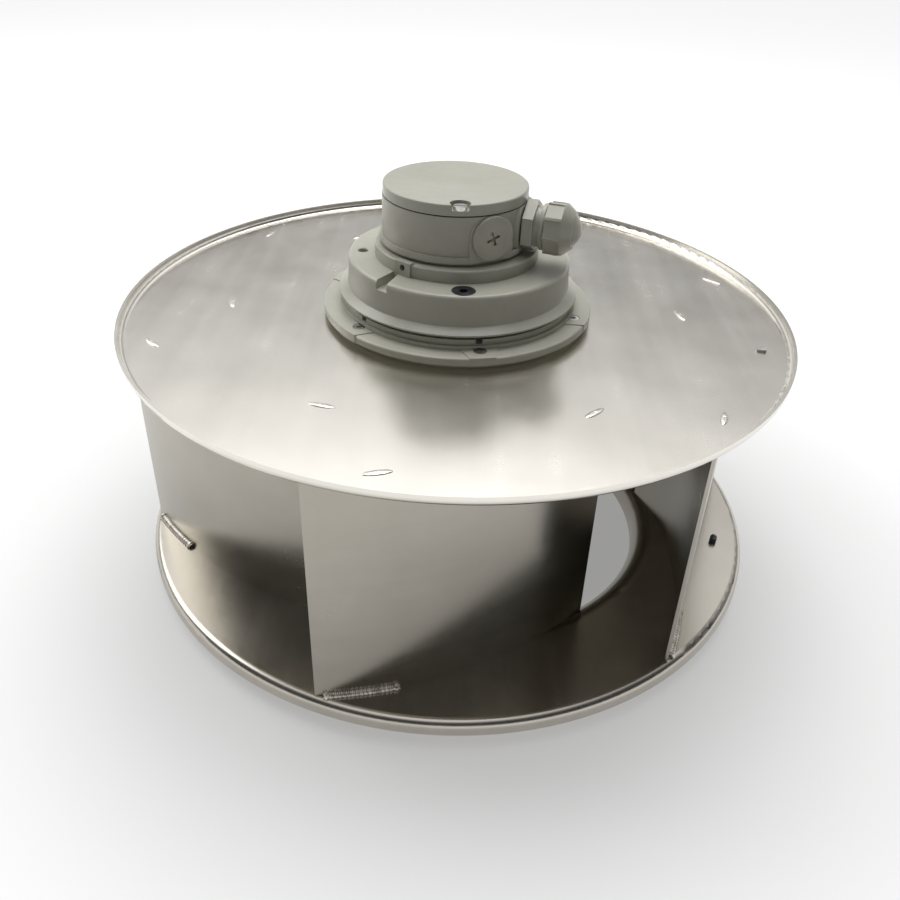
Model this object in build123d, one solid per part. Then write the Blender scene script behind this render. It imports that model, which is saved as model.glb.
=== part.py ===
from build123d import *
import os
from math import atan2, cos, degrees, pi, radians, sin, sqrt

os.makedirs("parts", exist_ok=True)

# A single-inlet backward-curved fan wheel on an external-rotor motor, in mm.
# The origin is at the middle of the inlet collar's lower edge and +Z runs up the shaft.
# A size whose name ends in _z is a height above that edge.

# Driving sizes of the wheel
wheel_r = 230.0
sheet = 2.0
throat_r = 148.0
throat_land = 6.0
front_z = 24.0
front_rim = 10.0
back_z = 187.7
back_rim = 5.7
rim_bend = 3.5
hub_hole_r = 76.6

# Driving sizes of the blades
blade_count = 6
blade_turn = -110.3
blade_setback = 4.6
leading_r = 155.5
blade_wrap = 57.0
blade_arc_r = 268.0
tab_long = 13.0
tab_from_tail = 34.0
tab_from_nose = 22.0
tab_proud = 0.6
slot_gap = 0.15
weld_long = 47.0
weld_r = 3.0
weld_inset = 5.0

# Driving sizes of the rotor
bell_floor_z = 112.0
bell_wall = 6.0
bell_r = 76.0
bell_draft = 2.0
flange_r = 93.0
flange_lift = 4.3
flange_t = 5.0
seat_r = 87.5
ring_r = 79.5
ring_h = 6.4
pad_turn = -79.5
pad_count = 6
pad_screw_r = 83.5
core_z0 = 140.0
core_z1 = 185.0
air_gap = 0.4
stator_r = 57.6
shaft_r = 7.5
shaft_hub_r = 9.0

# Driving sizes of the stator housing
lip_gap = 2.8
lip_r = 82.1
housing_h = 24.1
shoulder_r = 75.0
top_wall = 9.0
fix_r = 65.5
fix_turn = 3.0
fix_hole_r = 3.4
collar_h = 8.4
collar_r = 55.5
collar_x = -2.0
notch_in_w = 4.4
notch_out_w = 11.0
notch_deep = 5.8

# Driving sizes of the terminal box, its plug and its gland
box_x = -4.0
box_r = 48.5
box_wall = 3.2
box_h = 31.8
foot_lip = 1.5
foot_gap = 2.4
foot_h = 4.0
seal_t = 0.8
lid_h = 7.8
lid_inset = 0.5
lid_screw_inset = 4.2
lid_screw_turn = -85.6
entry_r = 12.5
entry_lift = 1.8
plug_turn = -60.4
plug_r = 14.2
plug_sink = 0.1
gland_turn = -17.0
gland_sink = 0.2
gland_flat = 30.0
nut_r = 17.3
nut_stand = 15.1
nut_long = 17.6

# Driving sizes of the bearings
race_out_r = 17.5
race_w = 11.0
ball_r = 3.0
ball_count = 8
ball_play = 0.3
lower_bearing_z = 128.0
upper_bearing_z = 199.0


# Heights of the motor's stack, each standing on the one below it
flange_z = back_z + flange_lift
flange_top = flange_z + flange_t
ring_top = flange_top + ring_h
lip_z = ring_top + lip_gap
shoulder_z = lip_z + housing_h
collar_top = shoulder_z + collar_h
box_top = collar_top + box_h
lid_top = box_top + lid_h
entry_z = (collar_top + box_top) / 2 + entry_lift

# Radii of the terminal box, and how far its fittings stand from its axis
foot_r = box_r + foot_lip
lid_r = box_r - lid_inset
lid_screw_r = lid_r - lid_screw_inset
plug_face = box_r - plug_sink
gland_face = box_r - gland_sink
nut_start = gland_face + nut_stand
nut_end = nut_start + nut_long


def save(node, shape):
    """Write one node's solids to parts/NODE.step."""
    export_step(shape, f"parts/{node}.step")


def bar(r, z0, z1, at=(0, 0)):
    """A round bar of radius r standing between two heights."""
    base = (Align.CENTER, Align.CENTER, Align.MIN)
    return Pos(at[0], at[1], z0) * Cylinder(r, z1 - z0, align=base)


def tube(r_out, r_in, z0, z1, at=(0, 0)):
    """A straight tube standing between two heights."""
    return bar(r_out, z0, z1, at) - bar(r_in, z0, z1, at)


def outline(corners, rounds=()):
    """A face from its corners, with (corner, radius) pairs rounded off."""
    face = make_face(Polyline(*corners, close=True))
    for corner, r in rounds:
        face = fillet(face.vertices().sort_by_distance(corner)[0], r)
    return face


def turned(corners, rounds=()):
    """An outline of (radius, height) corners turned about the Z axis."""
    return revolve(Plane.XZ * outline(corners, rounds), Axis.Z)


def polar(r, turn, centre=(0, 0)):
    """The plan point at radius r and an angle in degrees about a centre."""
    a = radians(turn)
    return (centre[0] + r * cos(a), centre[1] + r * sin(a))


def around(count, shape, first=0.0):
    """Copies of a shape spaced evenly about the Z axis."""
    return [Rot(0, 0, first + 360.0 * i / count) * shape for i in range(count)]


def facing(turn, height):
    """A plane on the terminal box's axis whose normal looks outwards along an angle."""
    a = radians(turn)
    return Plane(
        origin=(box_x, 0, height),
        x_dir=(-sin(a), cos(a), 0),
        z_dir=(cos(a), sin(a), 0),
    )


# Back plate: a flat disc with its edge rolled up, slotted for the blade tabs
back_under = back_z - sheet
rim_top = back_z + back_rim
bend_out = rim_bend + sheet
back_plate = turned(
    [
        (hub_hole_r, back_under),
        (wheel_r, back_under),
        (wheel_r, rim_top),
        (wheel_r - sheet, rim_top),
        (wheel_r - sheet, back_z),
        (hub_hole_r, back_z),
    ],
    [((wheel_r, back_under), bend_out), ((wheel_r - sheet, back_z), rim_bend)],
)

# Front plate: the same disc with its edge rolled down and its middle drawn out as the inlet
front_under = front_z - sheet
throat_bend = front_z - throat_land
front_plate = turned(
    [
        (throat_r, 0),
        (throat_r + sheet, 0),
        (throat_r + sheet, front_under),
        (wheel_r - sheet, front_under),
        (wheel_r - sheet, front_z - front_rim),
        (wheel_r, front_z - front_rim),
        (wheel_r, front_z),
        (throat_r, front_z),
    ],
    [
        ((throat_r + sheet, front_under), throat_bend - sheet),
        ((wheel_r - sheet, front_under), rim_bend),
        ((wheel_r, front_z), bend_out),
        ((throat_r, front_z), throat_bend),
    ],
)

# Blades: strips of sheet on one arc in plan, running in from the trailing edge
trailing_r = wheel_r - blade_setback
tail = Vector(trailing_r, 0)
nose = Vector(*polar(leading_r, blade_wrap))
chord = nose - tail
reach = sqrt(blade_arc_r**2 - (chord.length / 2) ** 2)
arc_mid = (tail + nose) / 2 - Vector(chord.Y, -chord.X).normalized() * reach
tail_turn = degrees(atan2((tail - arc_mid).Y, (tail - arc_mid).X))
nose_turn = degrees(atan2((nose - arc_mid).Y, (nose - arc_mid).X))
turn_per_mm = 180.0 / (pi * blade_arc_r)


def strip(start, length, thick):
    """The plan of a stretch of blade that begins a distance in from its trailing edge."""
    first = tail_turn + start * turn_per_mm
    sweep = length * turn_per_mm
    centre = (arc_mid.X, arc_mid.Y)
    inner = CenterArc(centre, blade_arc_r - thick / 2, first, sweep)
    outer = CenterArc(centre, blade_arc_r + thick / 2, first, sweep)
    ends = [Line(inner @ 0, outer @ 0), Line(inner @ 1, outer @ 1)]
    return make_face([inner, outer] + ends)


blade_long = (nose_turn - tail_turn) / turn_per_mm
tab_starts = [tab_from_tail, blade_long - tab_from_nose]
under_blades = turned(
    [(throat_r, 0), (wheel_r + 1, 0), (wheel_r + 1, front_z), (throat_r, front_z)],
    [((throat_r, front_z), throat_bend)],
)
blade = extrude(strip(0, blade_long, sheet), back_under) - under_blades
blade_slots = Part()
for start in tab_starts:
    tab = extrude(strip(start, tab_long, sheet), back_z + tab_proud)
    blade += tab - bar(wheel_r + 1, 0, back_under)
    slot = strip(start - slot_gap, tab_long + 2 * slot_gap, sheet + 2 * slot_gap)
    blade_slots += extrude(slot, back_z + 1)

# The weld bead lies in the corner between the blade's outer face and the front plate
bead_turn = tail_turn + weld_inset * turn_per_mm
bead_arc = CenterArc((0, 0), blade_arc_r + sheet / 2, bead_turn, weld_long * turn_per_mm)
bead_path = Pos(arc_mid.X, arc_mid.Y, front_z) * bead_arc
bead_plane = Plane(origin=bead_path @ 0, z_dir=bead_path % 0)
bead = sweep(bead_plane * Circle(weld_r), bead_path)
bead -= bar(wheel_r + 1, 0, front_z)
bead -= extrude(strip(-weld_inset, blade_long + weld_inset, sheet), back_under)
blade += bead

for i in range(blade_count):
    turn = blade_turn + 360.0 * i / blade_count
    save(f"blade_{i + 1}", Rot(0, 0, turn) * blade)
    back_plate -= Rot(0, 0, turn) * blade_slots

# Rotor bell: a deep cast cup whose flange sits on the back plate by a machined seat,
# with six raised pads on top for the screws
bell_in = bell_r - bell_wall - 0.5
cup_floor = bell_floor_z + bell_wall
step_h = 2.6
hub_boss_r = 16.0
hub_boss_top = 126.0
nose_z = bell_floor_z - 4
bell = turned(
    [
        (shaft_hub_r, nose_z),
        (hub_boss_r + 6, nose_z),
        (hub_boss_r + 9, bell_floor_z),
        (bell_r - bell_draft, bell_floor_z),
        (bell_r, back_z),
        (seat_r, back_z),
        (seat_r, flange_z),
        (flange_r, flange_z),
        (flange_r, flange_top),
        (ring_r + 2, flange_top),
        (ring_r + 2, flange_top + step_h),
        (ring_r, flange_top + step_h),
        (ring_r, ring_top),
        (bell_in, ring_top),
        (bell_in, cup_floor),
        (hub_boss_r + 2, cup_floor),
        (hub_boss_r, hub_boss_top),
        (shaft_hub_r, hub_boss_top),
    ],
    [((bell_r - bell_draft, bell_floor_z), 8.0), ((flange_r, flange_top), 1.2)],
)
pad_top = flange_top + 0.6
pad_in = ring_r - 3.0
pad_half_in = 13.0
pad_half_out = 8.2
pad_plan = outline(
    [
        (pad_in, -pad_half_in),
        (flange_r + 0.6, -pad_half_out),
        (flange_r + 0.6, pad_half_out),
        (pad_in, pad_half_in),
    ]
)
pad = Pos(0, 0, flange_z) * extrude(pad_plan, pad_top - flange_z)
pad &= tube(flange_r + 0.4, bell_r - 0.2, flange_z, pad_top)
keep_out = tube(ring_r + 2, bell_r - 1, flange_top, pad_top)
pad_bolt_r = 2.5
pad_head_r = 3.9
pad_sink = 1.6
drain_w = 4.4
drain_deep = 3.0
drain = Pos(ring_r, 0, ring_top) * Box(12, drain_w, 2 * drain_deep)
bolt_hole = bar(pad_bolt_r + 0.2, back_under - 1, pad_top, (pad_screw_r, 0))
bolt_hole += bar(pad_head_r + 0.4, pad_top - pad_sink, pad_top + 1, (pad_screw_r, 0))
for piece in around(pad_count, pad - keep_out, pad_turn):
    bell += piece
for piece in around(pad_count, bolt_hole, pad_turn):
    bell -= piece
    back_plate -= piece
for piece in around(pad_count, drain, pad_turn):
    bell -= piece
save("rotor_bell", bell)

# Flange screws and nuts: they clamp the pads to the back plate
pad_head = bar(pad_head_r, pad_top - pad_sink, pad_top - 0.2, (pad_screw_r, 0))
pad_socket = extrude(RegularPolygon(2.0, 6), 1.0)
pad_head -= Pos(pad_screw_r, 0, pad_top - 1.1) * pad_socket
pad_nut_t = 4.0
pad_shank = bar(pad_bolt_r, back_under - pad_nut_t - 1, pad_top - pad_sink, (pad_screw_r, 0))
pad_bolt = pad_head + pad_shank
nut_plan = RegularPolygon(4.6, 6) - Circle(pad_bolt_r)
pad_nut = Pos(pad_screw_r, 0, back_under - pad_nut_t) * extrude(nut_plan, pad_nut_t)
save("flange_screws", Compound(around(pad_count, pad_bolt, pad_turn)))
save("flange_nuts", Compound(around(pad_count, pad_nut, pad_turn)))

# Balance weights: one riveted through each plate, where the wheel was found light
weight_turn = -13.0
weight_inset = 21.5
weight_r = wheel_r - weight_inset
rivet_r = 1.6
weight_at = polar(weight_r, weight_turn)
rivet_hole = bar(rivet_r, 0, rim_top, weight_at)
back_plate -= rivet_hole
front_plate -= rivet_hole
back_weight = Pos(*weight_at, back_z) * Rot(0, 0, weight_turn) * extrude(
    RectangleRounded(7.0, 4.6, 2.2), 1.6
)
back_weight += bar(rivet_r, back_under - 1.2, back_z, weight_at)
save("balance_weight_back", back_weight)
cup_r = 2.6
cup_h = 3.4
dome = Pos(*weight_at, front_z + cup_h) * Sphere(cup_r)
front_weight = dome & bar(cup_r, front_z, front_z + cup_h + cup_r, weight_at)
front_weight += bar(cup_r, front_z, front_z + cup_h, weight_at)
front_weight += bar(rivet_r, front_under - 1.2, front_z, weight_at)
save("balance_weight_front", front_weight)
save("back_plate", back_plate)
save("front_plate", front_plate)

# Shaft: stepped up from the bell's hub, with a groove for the retaining ring
shaft_top = upper_bearing_z + race_w + 4.0
ring_z = upper_bearing_z + race_w
clip_t = 1.1
clip_groove_r = shaft_r - 0.5
shaft = turned(
    [
        (0, nose_z - 2),
        (shaft_hub_r - 1, nose_z - 2),
        (shaft_hub_r, nose_z - 1),
        (shaft_hub_r, lower_bearing_z),
        (shaft_r, lower_bearing_z),
        (shaft_r, ring_z),
        (clip_groove_r, ring_z),
        (clip_groove_r, ring_z + clip_t),
        (shaft_r, ring_z + clip_t),
        (shaft_r, shaft_top - 1),
        (shaft_r - 1, shaft_top),
        (0, shaft_top),
    ]
)
save("shaft", shaft)
clip = tube(shaft_r + 2.2, clip_groove_r, ring_z, ring_z + clip_t)
clip -= Pos(shaft_r + 1, 0, ring_z) * Box(8, 5, 4)
save("shaft_retaining_ring", clip)

# Rotor core and cage: a slotted steel ring with its cast bars and end rings
core_in = stator_r + air_gap
bar_count = 24
cage_end = 6.0
cage_in = core_in + 1.2
bar_r0 = core_in + 2.2
bar_r1 = bell_in - 3.0
bar_w = 5.0
bar_plan = Pos((bar_r0 + bar_r1) / 2, 0) * Rectangle(bar_r1 - bar_r0, bar_w)
rotor_core = Circle(bell_in) - Circle(core_in)
bars = Sketch() + around(bar_count, bar_plan)
core_z = core_z1 - core_z0
save("rotor_core", Pos(0, 0, core_z0) * extrude(rotor_core - bars, core_z))
cage = tube(bell_in, cage_in, core_z0 - cage_end, core_z0)
cage += tube(bell_in, cage_in, core_z1, core_z1 + cage_end)
cage += Pos(0, 0, core_z0) * extrude(bars, core_z)
save("rotor_cage", cage)

# Bearings: two like sets of inner ring, outer ring and caged balls
race_mid_r = (race_out_r + shaft_r) / 2
out_land_r = race_mid_r + 2.4
in_land_r = race_mid_r - 2.4
groove_r = ball_r + ball_play
groove_in = 1.1
groove_half = 2.6


def bearing(name, z):
    """Save the three pieces of one bearing that stands at height z."""
    mid = z + race_w / 2
    out_ring = turned(
        [
            (out_land_r, z),
            (race_out_r, z),
            (race_out_r, z + race_w),
            (out_land_r, z + race_w),
            (out_land_r, mid + groove_half),
            (race_mid_r + groove_r, mid + groove_in),
            (race_mid_r + groove_r, mid - groove_in),
            (out_land_r, mid - groove_half),
        ]
    )
    in_ring = turned(
        [
            (shaft_r, z),
            (in_land_r, z),
            (in_land_r, mid - groove_half),
            (race_mid_r - groove_r, mid - groove_in),
            (race_mid_r - groove_r, mid + groove_in),
            (in_land_r, mid + groove_half),
            (in_land_r, z + race_w),
            (shaft_r, z + race_w),
        ]
    )
    balls = tube(race_mid_r + 0.8, race_mid_r - 0.8, mid - 1.5, mid + 1.5)
    for ball in around(ball_count, Pos(race_mid_r, 0, mid) * Sphere(ball_r)):
        balls += ball
    save(f"{name}_bearing_outer", out_ring)
    save(f"{name}_bearing_inner", in_ring)
    save(f"{name}_bearing_balls", balls)


bearing("lower", lower_bearing_z)
bearing("upper", upper_bearing_z)

# Bearing carrier: the inner flange and the long tube that holds both bearings
carrier_top = shoulder_z - top_wall
carrier_t = 6.0
carrier_r = 71.0
tube_r = 21.0
tube_step_r = 24.0
tube_low = lower_bearing_z
step_low = lower_bearing_z + race_w
spring_t = 1.6
step_high = upper_bearing_z - spring_t
labyrinth_r = bell_in - 1.2
labyrinth_low = core_z1 + cage_end + 6.0
carrier_under = carrier_top - carrier_t
carrier = turned(
    [
        (race_out_r, tube_low),
        (tube_r, tube_low),
        (tube_r, core_z1),
        (tube_step_r, core_z1),
        (tube_step_r + 1, carrier_under),
        (labyrinth_r - 2.4, carrier_under),
        (labyrinth_r - 2.0, labyrinth_low),
        (labyrinth_r, labyrinth_low),
        (labyrinth_r, carrier_under),
        (carrier_r, carrier_under),
        (carrier_r, carrier_top),
        (race_out_r, carrier_top),
        (race_out_r, step_high),
        (race_out_r - 4, step_high),
        (race_out_r - 4, step_low),
        (race_out_r, step_low),
    ]
)
lead_inset = 14.5
lead_at = (-6.0, box_r - lead_inset)
lead_r = 4.0
screw_spots = [polar(fix_r, fix_turn - 90), polar(fix_r, fix_turn + 90)]
fix_spots = [polar(fix_r, fix_turn), polar(fix_r, fix_turn + 180)]
carrier -= bar(lead_r + 0.5, carrier_under - 1, carrier_top + 1, lead_at)
screw_shank_r = 4.0
for spot in screw_spots:
    carrier -= bar(screw_shank_r, carrier_under - 1, carrier_top + 1, spot)
for spot in fix_spots:
    carrier -= bar(fix_hole_r, carrier_under - 1, carrier_top + 1, spot)
save("bearing_carrier", carrier)
cap_t = 2.5
save("bearing_cap", bar(race_out_r, carrier_top - cap_t, carrier_top))
spring_in = race_out_r - 3.2
save("preload_spring", tube(race_out_r - 0.3, spring_in, step_high, upper_bearing_z))

# Stator core: laminations on the tube, their teeth facing out to the rotor
tooth_count = 24
slot_in = 33.0
slot_out = 54.5
slot_w = 6.4
mouth_w = 2.2
slot_plan = Pos((slot_in + slot_out) / 2, 0) * Rectangle(slot_out - slot_in, slot_w)
mouth_plan = Pos(stator_r, 0) * Rectangle(2 * (stator_r - slot_out), mouth_w)
slots = Sketch() + around(tooth_count, slot_plan)
mouths = Sketch() + around(tooth_count, mouth_plan)
lamination = Circle(stator_r) - Circle(tube_r)
stack = Pos(0, 0, core_z0) * extrude(lamination - slots - mouths, core_z)
save("stator_core", stack)

# Winding: coil sides in every slot, joined by the bundled end turns
liner_t = 1.4
end_in = slot_in - 1.0
end_out = slot_out - 0.5
end_h = 13.0
end_plan = Circle(stator_r - 1.5) - Circle(slot_in - 4) - slots - mouths
save("end_insulator_lower", Pos(0, 0, core_z0 - liner_t) * extrude(end_plan, liner_t))
save("end_insulator_upper", Pos(0, 0, core_z1) * extrude(end_plan, liner_t))
side_plan = Pos((slot_in + slot_out) / 2, 0) * Rectangle(slot_out - slot_in - 1, slot_w - 0.6)
sides = Sketch() + around(tooth_count, side_plan)
end_low = core_z0 - liner_t
end_high = core_z1 + liner_t
winding = Pos(0, 0, end_low) * extrude(sides, end_high - end_low)
upper_turns = [
    (end_in, end_high),
    (end_out, end_high),
    (end_out - 1, end_high + end_h),
    (end_in + 1, end_high + end_h),
]
lower_turns = [
    (end_in + 1, end_low - end_h + 1),
    (end_out - 1, end_low - end_h + 1),
    (end_out, end_low),
    (end_in, end_low),
]
winding += turned(upper_turns, [(upper_turns[2], 4.0), (upper_turns[3], 4.0)])
winding += turned(lower_turns, [(lower_turns[0], 4.0), (lower_turns[1], 4.0)])
save("stator_winding", winding)

# Stator housing: the painted cover with its flared lip, shoulder and round collar
skirt_in = carrier_r
lip_t = 1.1
wall_r = shoulder_r + 1.2
flare_z = lip_z + 4.4
spigot_step = 2.5
hollow_r = box_r - spigot_step
wire_hole_r = 30.0
housing = turned(
    [
        (wire_hole_r, carrier_top),
        (skirt_in, carrier_top),
        (skirt_in + 1.5, flare_z),
        (lip_r - 2.6, lip_z),
        (lip_r, lip_z),
        (lip_r, lip_z + lip_t),
        (wall_r, flare_z),
        (shoulder_r, shoulder_z),
        (wire_hole_r, shoulder_z),
    ],
    [((shoulder_r, shoulder_z), 2.6), ((wall_r, flare_z), 0.8)],
)
collar_at = (collar_x, 0)
collar = tube(collar_r, hollow_r, shoulder_z - 1, collar_top, collar_at)
collar_edges = collar.edges().filter_by(GeomType.CIRCLE)
collar = fillet(collar_edges.group_by(Axis.Z)[-1].sort_by(SortBy.LENGTH)[-1], 1.2)
housing += collar

# The cable channel leaves the collar at a slant and opens through the shoulder's edge
notch_from = (-39.5, -38.5)
notch_turn = -116.4
notch_long = 28.0
notch_floor = shoulder_z - notch_deep
notch_plan = outline(
    [
        (0, -notch_in_w / 2),
        (notch_long, -notch_out_w / 2),
        (notch_long, notch_out_w / 2),
        (0, notch_in_w / 2),
    ]
)
notch = Pos(*notch_from, notch_floor) * Rot(0, 0, notch_turn) * extrude(notch_plan, 20.0)
notch -= bar(collar_r + 0.1, notch_floor - 1, collar_top + 20, collar_at)
housing -= notch

# A flat boss on the collar takes the grub screw that locks the turnable terminal box
grub_turn = -127.0
grub_z = collar_top - 3.0
grub_w = 12.6
grub_r = 2.1
grub_face = collar_r + 1.3
grub_deep = 4.5
grub_long = 30.0
boss_h = collar_top + 0.8 - shoulder_z
grub_side = Pos(collar_x, 0, 0) * Rot(0, 0, grub_turn)
boss_at = grub_side * Pos(grub_face - grub_deep, 0, shoulder_z)
housing += boss_at * Box(grub_deep, grub_w, boss_h, align=(Align.MIN, Align.CENTER, Align.MIN))
grub_hole = grub_side * Pos(hollow_r, 0, grub_z) * Rot(0, 90, 0) * Cylinder(grub_r, grub_long)
housing -= grub_hole

# Countersunk screw seats and tapped holes for the fan's own bracket
sink_r = 7.7
sink_deep = 3.7
hole_play = 0.25
sink = Cone(screw_shank_r, sink_r, sink_deep, align=(Align.CENTER, Align.CENTER, Align.MAX))
for spot in screw_spots:
    housing -= bar(screw_shank_r + hole_play, carrier_top - 1, shoulder_z, spot)
    housing -= Pos(*spot, shoulder_z) * sink
for spot in fix_spots:
    housing -= bar(fix_hole_r, carrier_top - 1, shoulder_z + 1, spot)
    housing -= Pos(*spot, shoulder_z) * Cone(
        fix_hole_r, fix_hole_r + 0.6, 0.6, align=(Align.CENTER, Align.CENTER, Align.MAX)
    )
socket = Pos(0, 0, shoulder_z - 2.6) * extrude(RegularPolygon(2.9, 6), 3.0)
housing_screws = []
for spot in screw_spots:
    screw = Pos(*spot, shoulder_z) * sink
    screw += bar(screw_shank_r, carrier_under - 1, shoulder_z - sink_deep, spot)
    housing_screws.append(screw - Pos(*spot, 0) * socket)
save("housing_screws", Compound(housing_screws))
grub_span = tube(collar_r - 1.5, hollow_r - 0.2, grub_z - 5, collar_top, collar_at)
save("grub_screw", grub_hole & grub_span)

# Terminal box: a round cast box on a spigot that turns in the collar
box_at = (box_x, 0)
neck_wall_r = box_r - 1.1
foot_z = collar_top + foot_gap
floor_t = 3.0
box_in = box_r - box_wall
spigot_r = hollow_r - 0.2
box_floor = collar_top + floor_t
box = tube(box_r, box_in, foot_z, box_top, box_at)
box += tube(foot_r, box_in, foot_z, foot_z + foot_h, box_at)
box += bar(neck_wall_r, collar_top, box_floor, box_at)
box += tube(spigot_r, spigot_r - 4, grub_z - 4, collar_top, collar_at)

# Flat-faced arch for the blanking plug, and a round spot face for the gland
plug_axis = facing(plug_turn, entry_z)
gland_axis = facing(gland_turn, entry_z)
arch_r = plug_r + 1.2
arch_foot = entry_z - collar_top - foot_gap
arch_plan = Circle(arch_r) + Pos(0, -arch_foot / 2) * Rectangle(2 * arch_r, arch_foot)
inner_pad = 3.0
pad_back = box_in - inner_pad
pad_room = bar(lid_r + 8, foot_z, box_top, box_at)
arch = Pos(0, 0, pad_back) * extrude(arch_plan, plug_face - pad_back)
box += plug_axis * arch & pad_room
gland_pad_r = gland_flat / sqrt(3) + 1.2
gland_pad = Pos(0, 0, pad_back) * extrude(Circle(gland_pad_r), gland_face - pad_back)
box += gland_axis * gland_pad & pad_room
for axis, face in ((plug_axis, plug_face), (gland_axis, gland_face)):
    box -= axis * Pos(0, 0, pad_back - 7) * extrude(Circle(entry_r), face - pad_back + 8)
    box -= axis * Pos(0, 0, face) * extrude(Rectangle(2 * arch_r, 4 * arch_r), 10)

# Lid screw pillar, hook pocket, wire hole and the screws that hold the box down
pillar_at = polar(lid_screw_r, lid_screw_turn, box_at)
lid_bolt_r = 2.5
box += bar(5.0, box_floor, box_top, pillar_at) & bar(box_r - 1, box_floor, box_top, box_at)
box -= bar(lid_bolt_r, box_top - 16, box_top + 1, pillar_at)
hook_turn = lid_screw_turn + 180.0
hook_w = 12.0
hook_deep = 6.0
hook_bead = 1.0
hook = Pos(box_x, 0, box_top) * Rot(0, 0, hook_turn)
pocket = hook * Pos(box_in, 0, -hook_deep + 1.3) * Box(2 * hook_bead + 0.4, hook_w + 0.4, 3.0)
box -= pocket
box -= bar(lead_r + 2.5, collar_top - 1, box_floor + 1, lead_at)
hold_r = 2.0
hold_at_r = 33.0
hold_turn = 30.0
hold_spots = [polar(hold_at_r, turn, box_at) for turn in (hold_turn, hold_turn + 180.0)]
hold_land_r = 6.0
for spot in hold_spots:
    housing += bar(hold_land_r, shoulder_z - 1, collar_top, spot)
    housing -= bar(hold_r, shoulder_z + 1, collar_top, spot)
    box -= bar(hold_r + 0.2, collar_top - 1, box_floor + 1, spot)
housing -= bar(lead_r + 0.5, carrier_top - 1, shoulder_z + 1, lead_at)
save("stator_housing", housing)
save("terminal_box", box)
hold_screw = bar(hold_r, collar_top - 6, box_floor) + bar(3.6, box_floor, box_floor + 2.4)
hold_screw -= Pos(0, 0, box_floor + 2.4) * Box(5.4, 0.9, 1.6)
save("box_screws", Compound([Pos(*spot) * hold_screw for spot in hold_spots]))

# Lid, its seal and its one captive screw; a hook on the far side holds it down
seal_in = box_in + 0.4
lid_seal = tube(lid_r - 0.3, seal_in, box_top, box_top + seal_t, box_at)
lid_seal -= bar(lid_bolt_r + 0.3, box_top - 1, box_top + seal_t + 1, pillar_at)
save("lid_seal", lid_seal)
lid_under = box_top + seal_t
lid_t = 2.6
dish = 1.4
lid_rim = 2.4
lid = turned(
    [
        (0, lid_under),
        (lid_r, lid_under),
        (lid_r, lid_top),
        (lid_r - lid_rim, lid_top),
        (0, lid_top - dish),
    ],
    [((lid_r, lid_top), 1.2)],
)
lid -= bar(box_in - 2, lid_under - 1, lid_top - dish - lid_t)
lid = Pos(box_x, 0) * lid
head_well_r = 6.6
well_deep = 3.8
well_floor = lid_top - well_deep
well = bar(head_well_r + 1, lid_under, well_floor, pillar_at)
lid += well & bar(lid_r - 1, lid_under, lid_top, box_at)
lid -= bar(head_well_r, well_floor, lid_top + 1, pillar_at)
lid -= bar(lid_bolt_r + 0.2, lid_under - 1, lid_top, pillar_at)
lug = Pos(box_in - 1.6, 0, -hook_deep / 2 + seal_t / 2) * Box(2.4, hook_w, hook_deep + seal_t)
bead_low = Pos(box_in - 0.2, 0, -hook_deep + 1.3) * Box(2 * hook_bead, hook_w, 2.0)
lid += hook * lug
lid += hook * bead_low
lid += hook * Pos(box_in - 3.4, 0, seal_t + 1.2) * Box(6.0, hook_w, 2.4)
pry_turn = 52.0
pry = Pos(box_x, 0, lid_under) * Rot(0, 0, pry_turn) * Pos(lid_r, 0, 0) * Box(3.0, 12.0, 2.0)
lid -= pry
save("box_lid", lid)
lid_head_r = 4.5
lid_head_t = 2.2
lid_screw = bar(lid_head_r, well_floor, well_floor + lid_head_t)
lid_screw -= Pos(0, 0, well_floor + lid_head_t) * Box(2 * lid_head_r + 1, 1.2, 2.0)
lid_screw += bar(lid_bolt_r, box_top - 14, well_floor)
save("lid_screw", Pos(*pillar_at) * lid_screw)

# Blanking plug: a flat seal and a round head with a cross slot, screwed into the arch
plug_seal_t = 0.4
plug_head_t = 2.0
plug_seal = Circle(plug_r - 1.2) - Circle(entry_r)
save("plug_seal", plug_axis * Pos(0, 0, plug_face) * extrude(plug_seal, plug_seal_t))
plug_back = plug_face + plug_seal_t
head = Pos(0, 0, plug_back) * extrude(Circle(plug_r), plug_head_t)
head = fillet(head.edges().group_by(Axis.Z)[-1], 0.7)
slot_long = 9.4
slot_wide = 1.9
cross = Rectangle(slot_long, slot_wide) + Rectangle(slot_wide, slot_long)
cross_cut = Pos(0, 0, plug_back) * Rot(0, 0, 20) * extrude(cross, plug_head_t + 1)
shank = Pos(0, 0, pad_back) * extrude(Circle(entry_r), plug_back - pad_back)
bore = Pos(0, 0, pad_back) * extrude(Circle(entry_r - 2.5), plug_back - pad_back - 2.0)
save("blanking_plug", plug_axis * (head + shank - bore - cross_cut))

# Cable gland: seal, hexagonal body, lock nut, rubber sleeve, dome nut and blind insert
gland_seal_t = 1.0
hex_t = 7.0
gland_seal = Circle(gland_flat / 2 - 0.4) - Circle(entry_r)
save("gland_seal", gland_axis * Pos(0, 0, gland_face) * extrude(gland_seal, gland_seal_t))
hex_back = gland_face + gland_seal_t
hex_front = hex_back + hex_t
neck_r = 13.2
neck_ring_r = 15.0
neck_ring_t = 3.2
bore_r = 10.2
hexagon = Rot(0, 0, 90) * RegularPolygon(gland_flat / sqrt(3), 6)
lock_t = 4.0
inside_end = pad_back - lock_t - 1.0
body = Pos(0, 0, hex_back) * extrude(hexagon, hex_t)
body += Pos(0, 0, inside_end) * extrude(Circle(entry_r), hex_back - inside_end)
neck_long = 12.0
neck_play = 0.5
neck_end = hex_front + neck_long + neck_play
body += Pos(0, 0, hex_front) * extrude(Circle(neck_r), neck_long)
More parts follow.
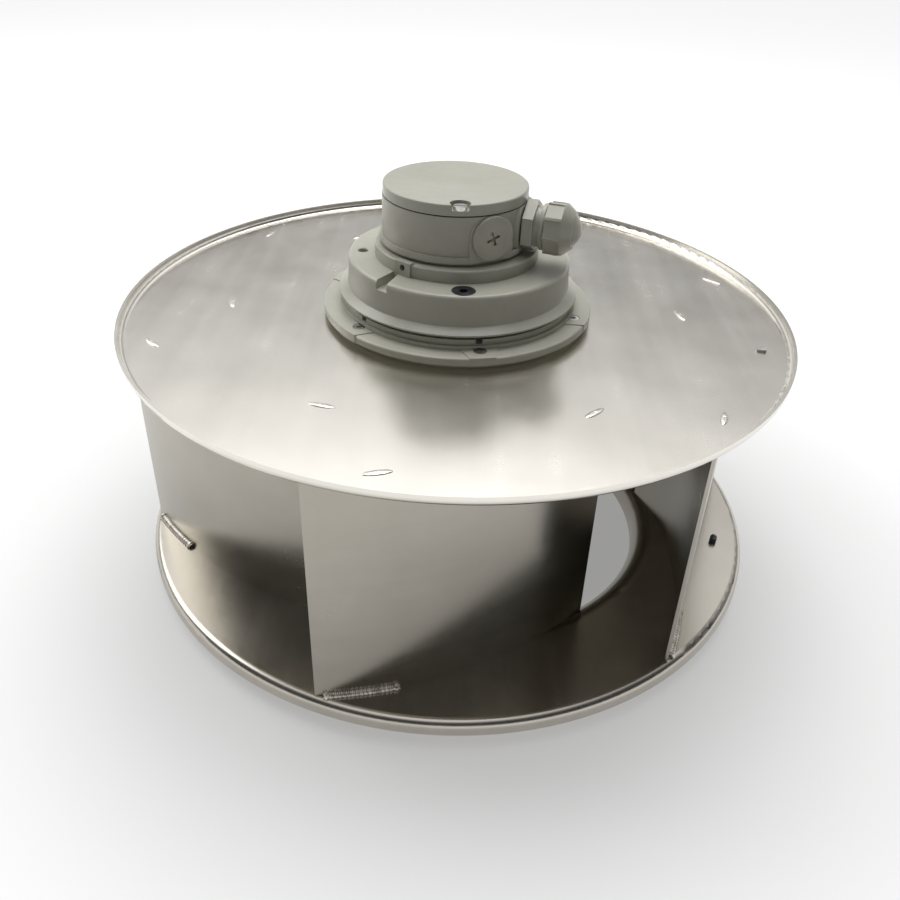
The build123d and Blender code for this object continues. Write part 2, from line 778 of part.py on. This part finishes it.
neck_ring = extrude(Circle(neck_ring_r), neck_ring_t)
body += Pos(0, 0, nut_start - neck_ring_t - 0.4) * fillet(neck_ring.edges(), 0.8)
body -= Pos(0, 0, inside_end) * extrude(Circle(bore_r), hex_front + neck_long + 1.0 - inside_end)
save("gland_body", gland_axis * body)
lock_plan = RegularPolygon(15.7, 6) - Circle(entry_r)
lock = Pos(0, 0, pad_back - lock_t) * extrude(lock_plan, lock_t)
save("gland_lock_nut", gland_axis * lock)
insert_r = 10.4
insert_proud = 4.6
insert_end = nut_end + insert_proud
cap_r = 13.6
nut_front_r = 11.9
nut_nose = 7.0
shape_r = turned(
    [
        (neck_r, nut_start),
        (nut_r, nut_start),
        (nut_r, nut_end - nut_nose),
        (nut_front_r, nut_end),
        (insert_r, nut_end),
        (insert_r, neck_end),
        (neck_r, neck_end),
    ],
    [((nut_r, nut_end - nut_nose), 6.0), ((nut_front_r, nut_end), 0.8)],
)
grips = 8
grip_turn = 8.5
octagon = RegularPolygon(nut_r - 0.4, grips)
rib = Pos(nut_r - 1.0, 0) * Rectangle(5.0, 1.8)
grip_plan = Rot(0, 0, grip_turn) * (octagon + around(grips, rib))
grip_long = 10.8
grip_body = Pos(0, 0, nut_start - 1) * extrude(grip_plan, grip_long + 1)
grip_body += Pos(0, 0, nut_start + grip_long) * extrude(Circle(nut_r + 2), 20)
nut = shape_r & grip_body
save("gland_nut", gland_axis * nut)
sleeve = turned(
    [
        (6.5, hex_front + 6),
        (bore_r, hex_front + 6),
        (bore_r, neck_end),
        (insert_r, neck_end),
        (insert_r, nut_end - 6),
        (6.5, nut_end - 6),
    ]
)
save("gland_sleeve", gland_axis * sleeve)
insert = turned(
    [
        (0, nut_start),
        (6.5, nut_start),
        (6.5, nut_end - 6),
        (insert_r, nut_end - 6),
        (insert_r, insert_end),
        (0, insert_end),
    ]
)
insert &= Pos(0, 0, insert_end - cap_r) * Sphere(cap_r) + bar(insert_r, nut_start, nut_end)
save("gland_insert", gland_axis * insert)

# Terminal block: a row of poles on two feet, each with a clamp screw
block_poles = 6
pole_pitch = 8.0
block_w = 17.0
block_h = 14.0
block_at = (box_x - 6.0, 4.0)
block_foot_h = 4.0
block_z = box_floor + block_foot_h
block_long = block_poles * pole_pitch + 2
block = Pos(0, 0, block_h / 2) * Box(block_long, block_w, block_h)
ledge = Pos(0, 0, block_h) * Box(block_long + 1, 6.0, 5.0)
block -= Pos(0, block_w / 2, 0) * ledge
block -= Pos(0, -block_w / 2, 0) * ledge
for side in (-1, 1):
    block += Pos(side * block_long * 0.36, 0, -block_foot_h / 2) * Box(7, block_w - 4, block_foot_h)
pole_side = 5.9
pole_spots = []
for i in range(block_poles):
    along = pole_pitch * (i - (block_poles - 1) / 2)
    pole_spots += [(along, -pole_side), (along, pole_side)]
pole_floor = block_h - 2.5
pole_r = 2.3
for spot in pole_spots:
    block -= bar(pole_r + 0.2, pole_floor - 5, pole_floor + 1, spot)
block_place = Pos(block_at[0], block_at[1], block_z) * Rot(0, 0, 20)
save("terminal_block", block_place * block)
pole_screws = []
for spot in pole_spots:
    head = bar(pole_r, pole_floor - 5, pole_floor - 1.5, spot)
    pole_screws.append(head - Pos(spot[0], spot[1], pole_floor - 1.5) * Box(5, 0.8, 1.4))
save("terminal_screws", block_place * Compound(pole_screws))

# Motor leads: a sleeve out of the winding, up through both floors into the box
lead_top = box_floor + 6.0
save("lead_sleeve", tube(lead_r, lead_r - 1, end_high + end_h, lead_top, lead_at))
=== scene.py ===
from math import cos, pi, radians, sin

import bpy
import numpy as np
from mathutils import Matrix, Vector


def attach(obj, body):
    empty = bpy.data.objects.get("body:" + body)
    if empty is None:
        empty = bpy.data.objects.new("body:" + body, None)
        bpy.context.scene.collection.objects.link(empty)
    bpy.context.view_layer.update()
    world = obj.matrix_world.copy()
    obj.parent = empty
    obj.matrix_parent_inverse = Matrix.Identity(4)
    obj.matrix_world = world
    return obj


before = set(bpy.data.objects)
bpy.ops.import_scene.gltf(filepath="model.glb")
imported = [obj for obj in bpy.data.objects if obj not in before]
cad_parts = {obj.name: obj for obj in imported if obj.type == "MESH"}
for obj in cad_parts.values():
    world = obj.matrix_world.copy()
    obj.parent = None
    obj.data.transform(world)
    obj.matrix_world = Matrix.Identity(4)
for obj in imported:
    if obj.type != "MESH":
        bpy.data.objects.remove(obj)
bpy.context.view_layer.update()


# Back plate: a disc of 2 mm aluminium sheet, satin from the rolling mill, whose edge is
# rolled up. It is blanked, slotted for the blade tabs and pierced for the hub's screws.
class Wire:
    """One shader value. Its sums, differences, products and quotients are Math nodes."""

    def __init__(self, tree, socket):
        self.tree = tree
        self.socket = socket

    def node(self, kind, settings, sockets, out=0):
        """Add a node of a type: its settings first, then its sockets' values or links."""
        made = self.tree.nodes.new(kind)
        for name, value in settings.items():
            if name == "stops":
                ramp = made.color_ramp
                while len(ramp.elements) < len(value):
                    ramp.elements.new(0.5)
                for element, (place, level) in zip(ramp.elements, value):
                    element.position = place
                    element.color = (level, level, level, 1)
            else:
                setattr(made, name, value)
        for key, value in sockets.items():
            if isinstance(value, Wire):
                self.tree.links.new(value.socket, made.inputs[key])
            else:
                made.inputs[key].default_value = value
        return Wire(self.tree, made.outputs[out])

    def math(self, operation, a, b):
        return self.node("ShaderNodeMath", {"operation": operation}, {0: a, 1: b})

    def __add__(self, other):
        return self.math("ADD", self, other)

    def __radd__(self, other):
        return self.math("ADD", other, self)

    def __sub__(self, other):
        return self.math("SUBTRACT", self, other)

    def __rsub__(self, other):
        return self.math("SUBTRACT", other, self)

    def __mul__(self, other):
        return self.math("MULTIPLY", self, other)

    def __rmul__(self, other):
        return self.math("MULTIPLY", other, self)

    def noise(self, scale, detail, stretch=(1, 1, 1), roughness=0.5):
        """Cloudy values from 0 to 1 at a scale per metre, drawn out where stretch is under 1."""
        sized = self.node("ShaderNodeMapping", {}, {"Vector": self, "Scale": stretch})
        sockets = {"Vector": sized, "Scale": scale, "Detail": detail, "Roughness": roughness}
        return self.node("ShaderNodeTexNoise", {}, sockets)

    def ramp(self, *stops):
        """Grey levels at places from 0 to 1, with straight steps between them."""
        return self.node("ShaderNodeValToRGB", {"stops": stops}, {"Fac": self})

    def blend(self, low, high):
        """A colour that goes from low to high as this value goes from 0 to 1."""
        ends = [c if isinstance(c, Wire) else (*c, 1) for c in (low, high)]
        sockets = {0: self, 6: ends[0], 7: ends[1]}
        return self.node("ShaderNodeMix", {"data_type": "RGBA"}, sockets, out=2)

    def bump(self, strength, depth):
        """A normal that follows this value as a height, at a depth in metres."""
        sockets = {"Height": self, "Strength": strength, "Distance": depth}
        return self.node("ShaderNodeBump", {}, sockets)


def new_finish(name, metallic, **fixed):
    """A material with one Principled shader, and a wire on its Object coordinates."""
    finish = bpy.data.materials.new(name)
    finish.use_nodes = True
    tree = finish.node_tree
    shader = tree.nodes["Principled BSDF"]
    shader.inputs["Metallic"].default_value = metallic
    for socket, value in fixed.items():
        shader.inputs[socket.replace("_", " ")].default_value = value
    spot = tree.nodes.new("ShaderNodeTexCoord").outputs["Object"]
    return finish, Wire(tree, spot)


def apply(finish, **wires):
    """Lead wires into the sockets of a material's Principled shader."""
    tree = finish.node_tree
    for socket, wire in wires.items():
        tree.links.new(wire.socket, tree.nodes["Principled BSDF"].inputs[socket.replace("_", " ")])


def dress(finish, *nodes):
    """Give CAD nodes a finish in place of the plain colour they come with."""
    for node in nodes:
        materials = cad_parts[node].data.materials
        materials.clear()
        materials.append(finish)


def rolled_sheet(name, grain, bright, dark):
    """Satin rolled aluminium: cloudy stains, fine lines along the rolling direction."""
    finish, spot = new_finish(name, 1.0)
    clouds = spot.noise(5.0, 3.0)
    stains = spot.noise(23.0, 4.0, roughness=0.6)
    lines = spot.noise(60.0, 4.0, grain, 0.7)
    specks = spot.noise(420.0, 2.0)
    tone = clouds * 0.5 + stains * 0.3 + lines * 0.2
    colour = tone.ramp((0.3, 0.0), (0.7, 1.0)).blend(dark, bright)
    rough = 0.13 + 0.10 * stains + 0.08 * lines + 0.05 * specks
    height = lines * 0.7 + specks * 0.3
    apply(finish, Base_Color=colour, Roughness=rough, Normal=height.bump(0.05, 0.0001))
    return finish


plate_metal = rolled_sheet("plate_aluminium", (1.0, 0.03, 0.03), (0.86, 0.83, 0.77), (0.74, 0.71, 0.65))
dress(plate_metal, "back_plate")

# Front plate: the same sheet with a rolled rim and a collar that is spun down round the
# inlet. Its colour is darker than the back plate's: painted shade.
front_metal_painted_shade = rolled_sheet("front_aluminium_painted_shade", (1.0, 0.03, 0.03), (0.60, 0.57, 0.51), (0.46, 0.43, 0.38))
dress(front_metal_painted_shade, "front_plate")

# Blades: six strips of the same sheet, rolled to one arc, coloured darker still as painted
# shade. Each is tabbed through the back plate and welded to the front plate along its outer face.
blade_metal_painted_shade = rolled_sheet("blade_aluminium_painted_shade", (0.03, 0.03, 1.0), (0.46, 0.435, 0.385), (0.35, 0.33, 0.285))
dress(blade_metal_painted_shade, *[f"blade_{i}" for i in range(1, 7)])

# Tab welds: a flat smear of weld metal over each of the twelve tabs that come up through
# the back plate. Two hold each blade, on the arc that the blade is rolled to.
blade_turns = np.radians(-110.3 + 60.0 * np.arange(6))
arc_middle = (-0.01506, -0.11833)
arc_radius = 0.268
tail_angle = np.radians(26.2016)


def along_blade(out, run, height, turn):
    """Points a distance out from the blade's arc and a run in from its tail, at a height.

    The run over the arc's radius is an angle about the arc's middle, and the whole blade
    is then turned about the shaft.
    """
    angle = tail_angle + run / arc_radius
    x = arc_middle[0] + (arc_radius + out) * np.cos(angle)
    y = arc_middle[1] + (arc_radius + out) * np.sin(angle)
    height = np.broadcast_to(height, x.shape)
    return np.stack([x * np.cos(turn) - y * np.sin(turn), x * np.sin(turn) + y * np.cos(turn), height], -1)


def skin(name, rings, finish, slot):
    """A closed surface over rings of points, with a fan from each end ring to its middle."""
    count, around = rings.shape[:2]
    points = np.concatenate([rings.reshape(-1, 3), rings[[0, -1]].mean(1)])
    here = np.arange(around)
    after = (here + 1) % around
    row = np.arange(count - 1)[:, None] * around
    quads = np.stack([row + here, row + after, row + around + after, row + around + here], -1)
    low_fan = np.stack([after, here, np.full(around, count * around)], -1)
    high = (count - 1) * around
    high_fan = np.stack([high + here, high + after, np.full(around, count * around + 1)], -1)
    mesh = bpy.data.meshes.new(name)
    faces = quads.reshape(-1, 4).tolist() + low_fan.tolist() + high_fan.tolist()
    mesh.from_pydata(points.tolist(), [], faces)
    mesh.polygons.foreach_set("use_smooth", [True] * len(faces))
    mesh.materials.append(finish)
    piece = bpy.data.objects.new(name, mesh)
    bpy.context.scene.collection.objects.link(piece)
    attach(piece, "fan_rotor")
    return piece


weld_metal, spot = new_finish("weld_metal", 1.0)
soot = spot.noise(240.0, 3.0, roughness=0.6)
apply(
    weld_metal,
    Base_Color=soot.ramp((0.35, 0.0), (0.65, 1.0)).blend((0.36, 0.31, 0.26), (0.80, 0.77, 0.71)),
    Roughness=0.25 + 0.25 * soot,
    Normal=spot.noise(700.0, 2.0).bump(0.3, 0.0003),
)

tab_middles = (0.0405, 0.1807)
smear_long = 0.0084
smear_wide = 0.0024
smear_high = 0.00095
plate_top = 0.1877
share, round_angle = np.meshgrid(np.sin(np.linspace(0.05, np.pi / 2, 10)), np.linspace(0, 2 * np.pi, 32, endpoint=False), indexing="ij")
for i, turn in enumerate(blade_turns):
    for j, middle in enumerate(tab_middles):
        run = middle + smear_long * share * np.cos(round_angle)
        out = smear_wide * share * np.sin(round_angle)
        dome = smear_high * np.sqrt(1 - share**4) * (1 + 0.12 * np.cos(2 * np.pi * run / 0.0023))
        top = along_blade(out, run, plate_top + dome - 0.0001, turn)
        under = along_blade(out[-1:] * 0.9, middle + (run[-1:] - middle) * 0.9, plate_top - 0.0006, turn)
        skin(f"tab_weld_{i + 1}_{j + 1}", np.concatenate([top, under]), plate_metal, "sheet_aluminium")

# Blade welds: a rippled bead in the corner between each blade's outer face and the front
# plate, 47 mm long from near the trailing edge, with a blob where it starts and stops.
bead_from = 0.0050
bead_long = 0.0470
bead_radius = 0.0031
bead_corner = 0.0010
front_top = 0.0240
step, round_angle = np.meshgrid(np.linspace(0, 1, 180), np.linspace(0, 2 * np.pi, 24, endpoint=False), indexing="ij")
run = step * bead_long
ripple = 0.00022 * np.cos(2 * np.pi * run / 0.0026 + 0.8 * np.sin(round_angle))
blobs = np.exp(-(((run - 0.0016) / 0.0014) ** 2)) + np.exp(-(((bead_long - run - 0.0016) / 0.0014) ** 2))
ends = np.sqrt(np.clip(1 - (np.clip(np.abs(step - 0.5) * bead_long - bead_long / 2 + 0.0016, 0, None) / 0.00165) ** 2, 0, 1))
radius = (bead_radius + ripple + 0.0008 * blobs) * ends
out = bead_corner + np.maximum(radius * np.cos(round_angle), -0.0008)
height = front_top + np.maximum(radius * np.sin(round_angle), -0.0010)
for i, turn in enumerate(blade_turns):
    skin(f"blade_weld_{i + 1}", along_blade(out, bead_from + run, height, turn), weld_metal, "sheet_aluminium")

# Rotor bell: a deep cast aluminium cup, painted warm grey, whose flange is screwed down
# on the back plate. The magnet steel and its cage are pressed into it.


def cast_paint(name, light, dark, rough):
    """Thick satin paint over a sand-cast skin: soft mottling and a pebbled surface."""
    finish, spot = new_finish(name, 0.0, Specular_IOR_Level=0.45)
    clouds = spot.noise(28.0, 3.0)
    pebbles = spot.noise(900.0, 2.0)
    dust = spot.noise(140.0, 3.0, roughness=0.7)
    colour = (clouds * 0.6 + dust * 0.4).ramp((0.32, 0.0), (0.68, 1.0)).blend(dark, light)
    gloss = rough + 0.10 * clouds
    height = pebbles * 0.7 + clouds * 0.3
    apply(finish, Base_Color=colour, Roughness=gloss, Normal=height.bump(0.10, 0.0001))
    return finish


motor_paint = cast_paint("motor_paint", (0.54, 0.53, 0.455), (0.49, 0.48, 0.41), 0.20)
dress(motor_paint, "rotor_bell", "stator_housing", "terminal_box", "box_lid")


# Fasteners: zinc-plated screws, nuts and rings with a soft shine, and the darker
# oxide-blacked ones of the housing.
def plated(name, bright, dark, low, metallic=1.0):
    """Plated or blackened steel: fine scratches over a cloudy base."""
    finish, spot = new_finish(name, metallic)
    clouds = spot.noise(180.0, 3.0)
    scratches = spot.noise(900.0, 3.0, (1.0, 0.2, 0.2))
    colour = clouds.ramp((0.35, 0.0), (0.65, 1.0)).blend(dark, bright)
    apply(finish, Base_Color=colour, Roughness=low + 0.2 * scratches, Normal=scratches.bump(0.2, 0.0001))
    return finish


bright_steel = plated("bright_steel", (0.72, 0.71, 0.69), (0.55, 0.54, 0.52), 0.22)
dark_steel = plated("dark_steel", (0.17, 0.17, 0.21), (0.08, 0.08, 0.11), 0.22, 0.9)
core_steel = plated("core_steel", (0.30, 0.30, 0.31), (0.20, 0.20, 0.21), 0.40)
cast_metal = plated("cast_aluminium", (0.62, 0.62, 0.61), (0.50, 0.50, 0.49), 0.42)
copper = plated("copper", (0.62, 0.30, 0.14), (0.45, 0.20, 0.09), 0.32)
brass = plated("brass", (0.72, 0.58, 0.30), (0.55, 0.43, 0.20), 0.28)
dress(bright_steel, "flange_screws", "flange_nuts", "balance_weight_back", "shaft")
dress(bright_steel, "bearing_cap", "preload_spring", "box_screws", "lid_screw")
for place in ("upper", "lower"):
    dress(bright_steel, *[f"{place}_bearing_{part}" for part in ("outer", "inner", "balls")])
dress(dark_steel, "balance_weight_front", "shaft_retaining_ring", "housing_screws", "grub_screw")
dress(core_steel, "rotor_core", "stator_core")
dress(cast_metal, "rotor_cage", "bearing_carrier")
dress(copper, "stator_winding")
dress(brass, "terminal_screws")


# Moulded parts
def moulded(name, light, dark, rough):
    """Moulded plastic or rubber: an even colour, a fine sparked skin and faint flow marks."""
    finish, spot = new_finish(name, 0.0)
    flow = spot.noise(60.0, 2.0)
    skin = spot.noise(1500.0, 1.0)
    colour = flow.ramp((0.35, 0.0), (0.65, 1.0)).blend(dark, light)
    apply(finish, Base_Color=colour, Roughness=rough + 0.12 * skin, Normal=skin.bump(0.2, 0.0001))
    return finish


grey_plastic = moulded("grey_plastic", (0.52, 0.51, 0.43), (0.46, 0.45, 0.38), 0.26)
cream_plastic = moulded("cream_plastic", (0.78, 0.74, 0.62), (0.70, 0.66, 0.55), 0.4)
black_rubber = moulded("black_rubber", (0.030, 0.030, 0.032), (0.018, 0.018, 0.020), 0.6)
dress(grey_plastic, "blanking_plug", "gland_body", "gland_nut", "gland_insert", "gland_lock_nut")
dress(cream_plastic, "end_insulator_lower", "end_insulator_upper", "terminal_block")
dress(black_rubber, "lid_seal", "plug_seal", "gland_seal", "gland_sleeve", "lead_sleeve")

# Floor: a wide pale sheet that the wheel's inlet collar stands on. Its glow is weaker near the wheel: painted shade
# round it.
floor_mesh = bpy.data.meshes.new("floor")
floor_half = 12.0
corners = [(-floor_half, -floor_half, 0), (floor_half, -floor_half, 0), (floor_half, floor_half, 0), (-floor_half, floor_half, 0)]
floor_mesh.from_pydata(corners, [], [(0, 1, 2, 3)])
floor = bpy.data.objects.new("floor", floor_mesh)
bpy.context.scene.collection.objects.link(floor)


def pale_sheet(name, shade, strength, near, far):
    """A matt pale sheet that glows to the eye and to mirrors, less near its middle (painted shade round what stands
    there) and fully from a far distance on.
    """
    pale = bpy.data.materials.new(name)
    pale.use_nodes = True
    tree = pale.node_tree
    shader = tree.nodes["Principled BSDF"]
    shader.inputs["Base Color"].default_value = (shade, shade, shade, 1)
    shader.inputs["Roughness"].default_value = 0.9
    shader.inputs["Specular IOR Level"].default_value = 0.1
    shader.inputs["Emission Color"].default_value = (1, 1, 1, 1)
    rays = tree.nodes.new("ShaderNodeLightPath")
    seen = [Wire(tree, rays.outputs[f"Is {kind} Ray"]) for kind in ("Camera", "Glossy", "Transmission")]
    spot = Wire(tree, tree.nodes.new("ShaderNodeTexCoord").outputs["Object"])
    reach = spot.node("ShaderNodeVectorMath", {"operation": "LENGTH"}, {0: spot}, out=1)
    # Weaker glow near the middle: painted shade round the wheel.
    glow = (seen[0] + seen[1] + seen[2]) * (reach.ramp((near, 0.45), (far, 1.0)) * strength)
    tree.links.new(glow.socket, shader.inputs["Emission Strength"])
    return pale


floor_mesh.materials.append(pale_sheet("pale_floor_painted_shade", 0.5, 0.65, 0.15, 0.5))

# Backdrop: a low pale wall round the floor, so that a view from any side ends in white.
wall_angle, wall_height = np.meshgrid(np.linspace(0, 2 * np.pi, 97), (0.0, 3.2), indexing="ij")
wall_points = np.stack([floor_half * np.cos(wall_angle), floor_half * np.sin(wall_angle), wall_height], -1)
first = 2 * np.arange(96)
wall_faces = np.stack([first, first + 1, first + 3, first + 2], -1)
wall_mesh = bpy.data.meshes.new("backdrop")
wall_mesh.from_pydata(wall_points.reshape(-1, 3).tolist(), [], wall_faces.tolist())
wall_mesh.materials.append(pale_sheet("pale_wall", 0.1, 0.93, 0.15, 0.5))
wall = bpy.data.objects.new("backdrop", wall_mesh)
bpy.context.scene.collection.objects.link(wall)

# Light: a studio that is bright overhead and beyond the object, grey at the sides and
# dark behind the camera, with one soft lamp to the left.
world = bpy.data.worlds.new("room")
world.use_nodes = True
bpy.context.scene.world = world
sky = world.node_tree
direction = Wire(sky, sky.nodes.new("ShaderNodeTexCoord").outputs["Generated"])
parts = [direction.node("ShaderNodeSeparateXYZ", {}, {0: direction}, out=i) for i in range(3)]
across, beyond, height = parts
far = height.ramp((0.0, 0.16), (0.36, 0.22), (0.42, 0.30), (0.50, 0.62), (0.58, 1.0), (1.0, 1.0))
near = height.ramp((0.0, 0.03), (0.35, 0.05), (0.8, 0.07), (0.94, 0.8), (1.0, 1.0))
side = (beyond * 0.5 + 0.5).ramp((0.5, 0.0), (0.8, 1.0))
level = side.node("ShaderNodeMix", {"data_type": "FLOAT"}, {0: side, 2: near, 3: far})
level = level * (across * 0.5 + 0.5).ramp((0.45, 1.28), (0.68, 0.96))
sky.links.new(level.socket, sky.nodes["Background"].inputs["Color"])


def lamp(name, spot, target, size, power):
    """A square soft lamp that faces a target."""
    data = bpy.data.lights.new(name, "AREA")
    data.size = size
    data.energy = power
    made = bpy.data.objects.new(name, data)
    made.location = spot
    made.rotation_euler = (Vector(target) - Vector(spot)).to_track_quat("-Z", "Y").to_euler()
    bpy.context.scene.collection.objects.link(made)


lamp("window", (-1.5, 0.7, 1.5), (0, 0, 0.15), 1.2, 12.0)
lamp("skylight", (0.1, 0.8, 2.2), (0, 0, 0.15), 1.4, 21.0)

# Camera: at the photograph's place, 34 degrees above the horizon and rolled by 2 degrees.
tilt = 0.5896
roll = 0.0386
forward = Vector((0, cos(tilt), -sin(tilt)))
level_up = Vector((0, sin(tilt), cos(tilt)))
side = Vector((1, 0, 0))
right = cos(roll) * side + sin(roll) * level_up
up = cos(roll) * level_up - sin(roll) * side
eye = Vector((-0.0012, -0.57686, 0.45312))
camera_data = bpy.data.cameras.new("camera")
camera_data.sensor_width = 36.0
camera_data.lens = 35.34
camera = bpy.data.objects.new("camera", camera_data)
bpy.context.scene.collection.objects.link(camera)
turn = Matrix((right, up, -forward)).transposed()
camera.matrix_world = Matrix.Translation(eye) @ turn.to_4x4()
bpy.context.scene.camera = camera
bpy.context.scene.view_settings.view_transform = "Standard"
